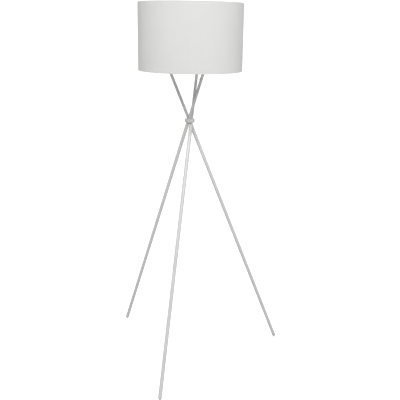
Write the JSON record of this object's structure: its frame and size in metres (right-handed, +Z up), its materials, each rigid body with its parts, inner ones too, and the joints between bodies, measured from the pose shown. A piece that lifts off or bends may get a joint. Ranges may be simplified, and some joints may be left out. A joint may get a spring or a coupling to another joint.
{
  "type": "tripod floor lamp",
  "caption": "Floor lamp on straight crossing metal legs with a waist hub, and a white fabric drum shade over a screw lampholder.",
  "frame": {"origin": "on the floor, on the lamp's upright axis, at the centre of the circle through the foot pads", "axes": "+Z up; -Y towards the front foot; +X to the right seen from the front"},
  "size_m": [0.8084, 0.7092, 1.62],
  "materials": {
    "white_paint": "satin white powder coat",
    "foot_plastic": "moulded, satin",
    "foot_rubber": "matt",
    "grommet_rubber": "matt",
    "plated_steel": "zinc plated",
    "holder_plastic": "moulded, satin",
    "insert_ceramic": "fired, unglazed",
    "brass": "pressed strip",
    "nickel": "nickel plated",
    "shade_fabric": "fine plain weave on a stiff backing",
    "shade_liner": "smooth white sheet",
    "opal_glass": "opal white",
    "bulb_plastic": "moulded, satin",
    "black_glass": "moulded black insulator"
  },
  "bodies": {
    "stand": {"upper_leg_front": "white_paint", "upper_leg_right": "white_paint", "upper_leg_left": "white_paint", "leg_sleeve_front": "white_paint", "leg_sleeve_right": "white_paint", "leg_sleeve_left": "white_paint", "lower_leg_front": "white_paint", "lower_leg_right": "white_paint", "lower_leg_left": "white_paint", "waist_hub": "white_paint", "top_bracket": "white_paint", "foot_cap_front": "foot_plastic", "foot_cap_right": "foot_plastic", "foot_cap_left": "foot_plastic", "foot_pad_front": "foot_rubber", "foot_pad_right": "foot_rubber", "foot_pad_left": "foot_rubber", "cable_grommet": "grommet_rubber", "lead_grommet": "grommet_rubber", "hub_nipples": "plated_steel", "holder_nipple": "plated_steel", "holder_nut": "plated_steel", "nut_washer": "plated_steel", "bracket_washers": "plated_steel", "bracket_screws": "plated_steel", "top_bushes": "plated_steel", "holder_cap": "holder_plastic", "holder_shell": "holder_plastic", "holder_insert": "insert_ceramic", "terminal_blocks": "brass", "centre_contact": "brass", "screw_shell": "brass", "terminal_screws": "nickel"},
    "shade": {"shade_fabric": "shade_fabric", "shade_liner": "shade_liner", "shade_top_wire": "plated_steel", "shade_bottom_wire": "plated_steel", "shade_spider": "white_paint"},
    "shade_ring": {"shade_ring": "holder_plastic"},
    "bulb": {"bulb_globe": "opal_glass", "bulb_collar": "bulb_plastic", "bulb_cap": "nickel", "bulb_insulator": "black_glass", "bulb_tip_contact": "nickel"}
  },
  "joints": [
    {"name": "shade_swivel", "type": "hinge", "parent": "stand", "child": "shade", "pos_m": [0, 0, 1.3705], "axis": [0, 0, 1], "continuous": true},
    {"name": "shade_ring_turn", "type": "hinge", "parent": "stand", "child": "shade_ring", "pos_m": [0, 0, 1.3768], "axis": [0, 0, 1], "range_deg": [0, 900]},
    {"name": "bulb_turn", "type": "hinge", "parent": "stand", "child": "bulb", "pos_m": [0, 0, 1.39], "axis": [0, 0, 1], "range_deg": [0, 1170]}
  ]
}
